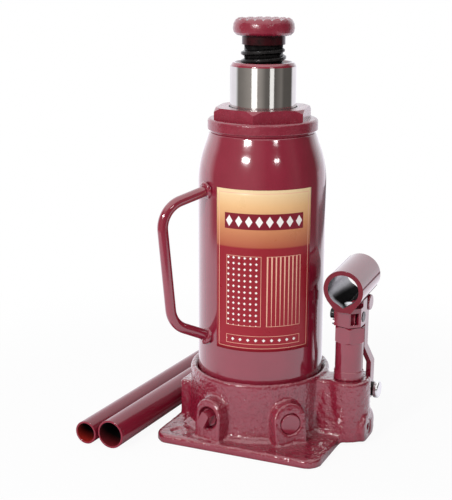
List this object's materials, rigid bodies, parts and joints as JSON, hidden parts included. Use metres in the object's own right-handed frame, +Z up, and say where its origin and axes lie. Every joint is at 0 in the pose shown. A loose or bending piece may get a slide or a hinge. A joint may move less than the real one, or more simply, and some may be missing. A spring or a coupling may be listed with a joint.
{
  "type": "hydraulic bottle jack",
  "caption": "Hydraulic bottle jack with a cast foot, welded tank, carry handle, hand pump, screw-out saddle, release valve and a loose tube handle in halves.",
  "frame": {"origin": "on the floor, where the ram's axis meets the underside of the foot", "axes": "+Z up along the ram, +X from the ram to the hand pump, -Y to the front with the valve bosses"},
  "size_m": [0.2102, 0.3307, 0.3224],
  "materials": {
    "cast_enamel": "gloss burgundy enamel over a cast skin",
    "enamel": "gloss burgundy enamel",
    "polished_steel": "ground and polished",
    "machined_steel": "machined",
    "black_steel": "black oxide, oiled",
    "zinc_steel": "bright zinc plate",
    "copper": "soft copper",
    "black_rubber": "matt black",
    "label_film": "printed film"
  },
  "bodies": {
    "base": {"base_casting": "cast_enamel", "reservoir_tank": "enamel", "filler_plug": "black_rubber", "tank_base_seal": "black_rubber", "pressure_cylinder": "machined_steel", "cylinder_gasket": "copper", "top_nut": "enamel", "top_nut_gasket": "enamel", "ram_gland_seal": "black_rubber", "ram_wiper": "black_rubber", "carry_handle": "enamel", "carry_handle_welds": "enamel", "tank_label": "label_film", "pump_cylinder": "enamel", "pump_flange_washer": "enamel", "pump_seat_washer": "copper", "plunger_packing": "black_rubber", "plunger_gland": "machined_steel", "inlet_ball": "machined_steel", "outlet_ball": "machined_steel", "outlet_cage": "machined_steel", "side_plug": "enamel", "relief_ball": "machined_steel", "relief_disc_springs": "machined_steel", "relief_screw": "machined_steel", "relief_plug": "enamel", "link_bolt": "zinc_steel", "link_bolt_washer": "black_steel", "link_bolt_nut": "zinc_steel"},
    "ram": {"ram": "polished_steel", "ram_piston": "machined_steel", "piston_cup_seal": "black_rubber", "piston_retainer": "machined_steel"},
    "screw_carrier": {"screw_stop_ring": "machined_steel"},
    "screw": {"extension_screw": "black_steel", "saddle": "enamel"},
    "link": {"link_bar_left": "enamel", "link_bar_right": "enamel"},
    "lever": {"handle_socket": "enamel", "socket_rivet": "zinc_steel", "plunger_pin": "black_steel", "plunger_split_pin": "zinc_steel", "lever_pin": "enamel", "lever_split_pin": "zinc_steel"},
    "plunger": {"pump_plunger": "enamel"},
    "release_seat": {"release_o_ring": "black_rubber", "release_ball": "machined_steel"},
    "release": {"release_spindle": "enamel"},
    "tube_outer": {"handle_tube_outer": "enamel"},
    "tube_inner": {"handle_tube_inner": "enamel"}
  },
  "joints": [
    {"name": "ram_lift", "type": "slide", "parent": "base", "child": "ram", "axis": [0, 0, 1], "range_m": [-0.023, 0.157]},
    {"name": "screw_lift", "type": "slide", "parent": "ram", "child": "screw_carrier", "axis": [0, 0, 1], "range_m": [-0.0196, 0.0601]},
    {"name": "screw_turn", "type": "hinge", "parent": "screw_carrier", "child": "screw", "pos_m": [0, 0, 0.29], "axis": [0, 0, 1], "range_deg": [-1170, 3600]},
    {"name": "link_rock", "type": "hinge", "parent": "base", "child": "link", "pos_m": [0.074, 0.017, 0.037], "axis": [1, 0, 0], "range_deg": [0, 1.4]},
    {"name": "lever_pump", "type": "hinge", "parent": "link", "child": "lever", "pos_m": [0.074, 0.0185, 0.107], "axis": [-1, 0, 0], "range_deg": [0, 50]},
    {"name": "plunger_stroke", "type": "slide", "parent": "base", "child": "plunger", "axis": [0, 0, 1], "range_m": [0, 0.0165]},
    {"name": "release_travel", "type": "slide", "parent": "base", "child": "release_seat", "axis": [-0.2756, -0.9613, 0], "range_m": [0, 0.0023]},
    {"name": "release_turn", "type": "hinge", "parent": "release_seat", "child": "release", "pos_m": [-0.01819, -0.06344, 0.024], "axis": [-0.2756, -0.9613, 0], "range_deg": [0, 540]},
    {"name": "outer_tube_lift", "type": "slide", "parent": "base", "child": "tube_outer", "axis": [0, 0, 1], "range_m": [0, 0.08]},
    {"name": "inner_tube_lift", "type": "slide", "parent": "base", "child": "tube_inner", "axis": [0, 0, 1], "range_m": [0, 0.08]}
  ],
  "couplings": [
    {"joint": "screw_lift", "follows": "screw_turn", "m_per_rad": 0.00095493},
    {"joint": "link_rock", "follows": "lever_pump", "ratio": 0.0267},
    {"joint": "plunger_stroke", "follows": "lever_pump", "m_per_rad": 0.01855},
    {"joint": "release_travel", "follows": "release_turn", "m_per_rad": 0.00023873}
  ]
}
